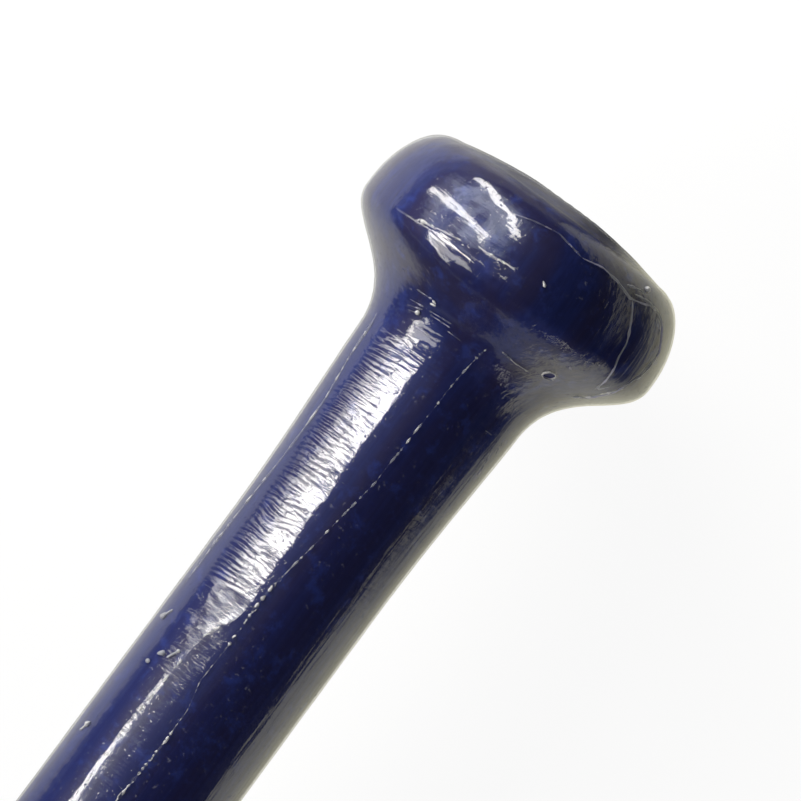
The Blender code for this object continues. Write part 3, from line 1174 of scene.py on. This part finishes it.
def navy_material(group):
    """Navy lacquer: the grain shows faintly through it, and the last coat has a little orange peel."""
    material, tree, place = new_material("Navy lacquer")
    marks = grouped(tree, group, {"Place": place, "Stick": 0.37, "Bundle Size": 0.0007})
    streaks = ramp(tree, marks["Bundles"], 0.35, 0.70)
    colour = mixed(tree, streaks, NAVY, BRIGHT_NAVY)
    clouds = ramp(tree, marks["Cloud"], 0.38, 0.62, 0.0, 0.75)
    colour = mixed(tree, clouds, colour, CLOUDED_NAVY)
    wisps = ramp(tree, noise(tree, place, 330.0, detail=4.0, roughness=0.65), 0.52, 0.72, 0.0, 0.8)
    peel = noise(tree, place, 700.0, detail=1.0)
    height = total(tree, peel, product(tree, marks["Bundles"], 0.6))
    settings = {
        "Base Color": mixed(tree, wisps, colour, NAVY_WISP),
        "Roughness": ramp(tree, peel, 0.2, 0.8, 0.40, 0.50),
        "Normal": bump(tree, height, 0.00003, 0.5),
        "Specular IOR Level": 0.25,
        "Coat Weight": 0.10,
        "Coat Roughness": 0.16,
    }
    return finished(material, settings)


def film_material():
    """Clear film: it shows by what it mirrors, and by pale specks where it is scuffed."""
    material, tree, place = new_material("Clear shrink film")

    def stretched_noise(scale, **settings):
        return noise(tree, vector_maths(tree, "MULTIPLY", place, scale), **settings)

    fine = stretched_noise((1400.0, 260.0, 260.0), detail=3.0, roughness=0.6)
    specks = ramp(tree, noise(tree, place, 1500.0), 0.60, 0.76)
    patches = ramp(tree, noise(tree, place, 160.0), 0.42, 0.62, 0.15, 1.0)
    scuffs = product(tree, specks, patches)
    height = total(tree, fine, product(tree, specks, 0.6))
    height = maths(tree, "MULTIPLY_ADD", noise(tree, place, 420.0), 2.2, height)
    drawn = stretched_noise((70.0, 1100.0, 1100.0))
    far_side = ramp(tree, parted(tree, place)["Y"], 0.006, 0.011, 0.0, 7.0)
    height = maths(tree, "MULTIPLY_ADD", drawn, far_side, height)
    facing = add_node(tree, "ShaderNodeLayerWeight").outputs["Facing"]
    grazing = maths(tree, "POWER", facing, 5.0)
    mirror = maths(tree, "MULTIPLY_ADD", grazing, 1.0 - FILM_MIRROR, FILM_MIRROR)
    outside = ramp(tree, attribute(tree, "lining"), 0.5, 0.4)
    settings = {
        "Base Color": WHITE,
        "Roughness": 0.09,
        "Metallic": maths(tree, "SUBTRACT", 1.0, scuffs),
        "Alpha": product(tree, maths(tree, "MULTIPLY_ADD", scuffs, 0.05, mirror), outside),
        "Normal": bump(tree, height, 0.00003, 0.8),
    }
    return finished(material, settings)


def whitened_glinting_film(name, grain, clear, white, tint=MILK_WHITE):
    """Film whitened in spots of the grain's size: partly the real whitening of a pinch or a hot seal,
    and partly painted glints, white spots that stand for the light the folds catch. Clear and white
    are how much it hides between the spots and on them, and the tint is the spots' colour."""
    material, tree, place = new_material(name)
    spots = ramp(tree, noise(tree, place, 1 / grain, detail=1.0), 0.45, 0.62)
    settings = {
        "Base Color": mixed(tree, spots, MILKY, tint),
        "Roughness": ramp(tree, spots, 0.0, 1.0, 0.30, 0.16),
        "Alpha": ramp(tree, spots, 0.0, 1.0, clear, white),
        "Normal": bump(tree, noise(tree, place, 2500.0), 0.00004, 0.6),
    }
    return finished(material, settings)


# Studio


def build_camera():
    tilt = math.radians(CAMERA_TILT)
    towards = Vector((0.0, math.sin(tilt), math.cos(tilt)))
    level = Vector((0.0, math.cos(tilt), -math.sin(tilt)))
    right = Vector((-BAT_ACROSS_VIEW, 0.0, 0.0)) + BAT_UP_VIEW * level
    up = Vector((-BAT_UP_VIEW, 0.0, 0.0)) - BAT_ACROSS_VIEW * level
    centre = Vector((VIEW_CENTRE_ALONG, 0.0, 0.0)) + VIEW_CENTRE_ACROSS * level
    data = bpy.data.cameras.new("camera")
    data.sensor_width = SENSOR_WIDTH
    data.lens = SENSOR_WIDTH * VIEW_DISTANCE / VIEW_WIDTH
    camera = add_object("camera", data)
    axes = Matrix((right.normalized(), up.normalized(), towards)).transposed()
    camera.matrix_world = Matrix.Translation(centre + VIEW_DISTANCE * towards) @ axes.to_4x4()
    bpy.context.scene.camera = camera


def add_lamp(name, start, end, width, radiance, aim, mirrored=True):
    """A warm white rectangular lamp from one end to the other that faces a point. Radiance is how
    bright its face looks. Some lamps only show in gloss, and the others only light."""
    start, end = Vector(start), Vector(end)
    centre = (start + end) / 2
    length = (end - start).length
    data = bpy.data.lights.new(name, "AREA")
    data.shape = "RECTANGLE"
    data.color = LAMP_COLOUR
    data.size = width
    data.size_y = length
    data.energy = radiance * math.pi * width * length
    lamp = add_object(name, data)
    run = (end - start).normalized()
    back = centre - Vector(aim)
    back = (back - back.dot(run) * run).normalized()
    axes = Matrix((run.cross(back), run, back)).transposed()
    lamp.matrix_world = Matrix.Translation(centre) @ axes.to_4x4()
    lamp.visible_camera = False
    lamp.visible_glossy = mirrored
    lamp.visible_diffuse = not mirrored


def over(along, from_top, distance=LAMP_DISTANCE):
    """A place over the bat, so many degrees from the top towards -Y."""
    turn = math.radians(from_top)
    return (along, -distance * math.sin(turn), distance * math.cos(turn))


def build_lights():
    handle = (0.06, 0.0, 0.0)
    knob = (0.010, 0.0, 0.0)
    barrel = (0.55, 0.0, 0.0)
    for high, low, radiance in ((16, 42, 15), (42, 56, 10), (56, 66, 6), (66, 76, 3), (76, 86, 1.2)):
        add_lamp(f"handle_strip_{low}", over(0.0610, high), over(0.0610, low), 0.021, radiance, handle)
    add_lamp("handle_strip_end", over(0.0780, 16), over(0.0780, 66), 0.013, 2.5, handle)
    add_lamp("neck_strip", over(0.1225, 38), over(0.1225, 54), 0.037, 10.0, handle)
    add_lamp("neck_far_strip", over(0.20, 18), over(0.20, 56), 0.10, 3.0, handle)
    add_lamp("knob_back_strip", over(0.006, 36), over(0.006, 60), 0.010, 8.0, knob)
    add_lamp("knob_back_strip_end", over(-0.012, -10), over(-0.012, 18), 0.016, 6.0, knob)
    add_lamp("knob_strip", over(-0.056, 17), over(-0.062, 74), 0.024, 9.0, knob)
    add_lamp("knob_end_strip", (-0.30, -0.26, 0.06), (-0.15, -0.012, 0.262), 0.038, 9.0, knob)
    add_lamp("main_softbox", (-0.26, -0.46, 0.20), (-0.10, -0.20, 0.20), 0.30, 12.0, knob, False)
    add_lamp("barrel_strip", (0.30, -0.43, 0.30), (0.84, -0.43, 0.30), 0.06, 5.0, barrel)
    add_lamp("barrel_softbox", (0.25, -0.40, 0.36), (0.80, -0.40, 0.36), 0.30, 5.2, barrel, False)
    add_lamp("back_strip", (0.40, 0.40, 0.05), (0.84, 0.40, 0.05), 0.08, 1.0, barrel)
    add_lamp("back_softbox", (0.36, 0.40, 0.30), (0.84, 0.40, 0.30), 0.30, 3.4, barrel, False)


def painted_floor_reflection(tree, along, across):
    """A painted reflection: how bright the floor shows in gloss, painted by place and not lit by the
    lamps.
    It is painted bright on the lamps' side and beyond the bat in the lane that the knob doesn't shade,
    and painted dark under the handle and in the knob's shade."""
    painted_bright_side = product(
        tree,
        ramp(tree, along, -0.16, -0.06, 0.4, 1.0),
        ramp(tree, along, 0.17, 0.10, 0.05, 1.0),
        ramp(tree, across, -0.015, -0.040, 0.35, 1.0),
        ramp(tree, across, 0.005, -0.01),
    )
    beside = product(
        tree,
        ramp(tree, across, 0.0, 0.015),
        ramp(tree, across, 0.085, 0.050),
        ramp(tree, along, 0.12, 0.09, 0.4, 0.95),
    )
    lane = product(
        tree,
        ramp(tree, along, 0.050, 0.070),
        ramp(tree, along, 0.14, 0.10, 0.35, 1.0),
        ramp(tree, across, 0.01, 0.04),
        ramp(tree, across, 0.40, 0.10, 0.0, 1.2),
    )
    past_end = product(
        tree,
        ramp(tree, along, -0.06, -0.09),
        ramp(tree, across, 0.01, 0.03),
        ramp(tree, across, 0.5, 0.2, 0.5, 0.65),
    )
    return total(tree, painted_bright_side, largest(tree, beside, lane, past_end))


def emptied(owner):
    """The node tree of a material or a world with nothing in it, and where it is seen straight on
    or through glass, and where in gloss."""
    owner.use_nodes = True
    tree = owner.node_tree
    tree.nodes.clear()
    path = add_node(tree, "ShaderNodeLightPath").outputs
    viewed = largest(tree, path["Is Camera Ray"], path["Is Transmission Ray"])
    return tree, viewed, path["Is Glossy Ray"]


def shader_mix(tree, share, first, second):
    inputs = {0: share, 1: first.outputs[0], 2: second.outputs[0]}
    return add_node(tree, "ShaderNodeMixShader", inputs)


def build_floor():
    bm = bmesh.new()
    bmesh.ops.create_grid(bm, x_segments=1, y_segments=1, size=FLOOR_REACH)
    bmesh.ops.translate(bm, vec=(0.0, 0.0, cad_box[0][2]), verts=bm.verts)
    floor = mesh_object("studio_floor", bm)
    bm.free()
    material = bpy.data.materials.new("Pale floor")
    tree, viewed, in_gloss = emptied(material)
    spot = parted(tree, add_node(tree, "ShaderNodeTexCoord").outputs["Object"])
    paint = add_node(tree, "ShaderNodeBsdfDiffuse", {"Color": FLOOR_PAINT})
    # In gloss the floor shows a painted reflection, bright, dark and warm by place, not the lamps'
    # light on it
    strength = product(tree, painted_floor_reflection(tree, spot["X"], spot["Y"]), 0.70)
    painted_warmth = ramp(tree, spot["Y"], -0.01, 0.01)
    colour = mixed(tree, painted_warmth, PAINTED_NEAR_FLOOR_REFLECTION, PAINTED_FAR_FLOOR_REFLECTION)
    mirrored = add_node(tree, "ShaderNodeEmission", {"Color": colour, "Strength": strength})
    glow = add_node(tree, "ShaderNodeEmission", {"Strength": 0.93})
    shade = add_node(tree, "ShaderNodeBsdfDiffuse", {"Color": FLOOR_SHADE})
    white = add_node(tree, "ShaderNodeAddShader", {0: glow.outputs[0], 1: shade.outputs[0]})
    blend = shader_mix(tree, viewed, shader_mix(tree, in_gloss, paint, mirrored), white)
    add_node(tree, "ShaderNodeOutputMaterial", {"Surface": blend.outputs[0]})
    material.cycles.emission_sampling = "NONE"
    floor.data.materials.append(material)


def build_world():
    world = bpy.data.worlds.new("studio")
    bpy.context.scene.world = world
    tree, viewed, in_gloss = emptied(world)
    place = add_node(tree, "ShaderNodeTexCoord").outputs["Generated"]
    sky = parted(tree, place)
    low = ramp(tree, sky["Z"], 0.12, 0.0)
    horizon = product(tree, low, ramp(tree, sky["Y"], 0.3, -0.3, 0.04, 0.22))
    zenith = ramp(tree, sky["Z"], 0.95, 1.0, 0.02, 0.08)
    towards_cloud = vector_maths(tree, "DOT_PRODUCT", place, CLOUD_DIRECTION, output="Value")
    drifts = ramp(tree, noise(tree, place, 5.0, detail=3.0, roughness=0.6), 0.36, 0.64, 0.2, 3.2)
    cloud = product(tree, ramp(tree, towards_cloud, 0.78, 0.97), drifts)
    mirrored = total(tree, horizon, zenith, cloud)
    level = mixed(tree, viewed, mixed(tree, in_gloss, 0.05, mirrored, "FLOAT"), 1.0, "FLOAT")
    colour = mixed(tree, viewed, SKY, WHITE)
    glow = add_node(tree, "ShaderNodeBackground", {"Color": colour, "Strength": level})
    add_node(tree, "ShaderNodeOutputWorld", {"Surface": glow.outputs[0]})
    world.cycles.sampling_method = "NONE"


build_camera()
build_world()
build_floor()
build_lights()
spun_wall = spun_wall_tree()
turned = turned_tree(spun_wall)
bamboo_marks = bamboo_group()
build_strips(turned, bamboo_material(bamboo_marks))
build_coat(turned, navy_material(bamboo_marks))
build_film(spun_wall, film_material())

bpy.context.scene.view_settings.view_transform = "Standard"
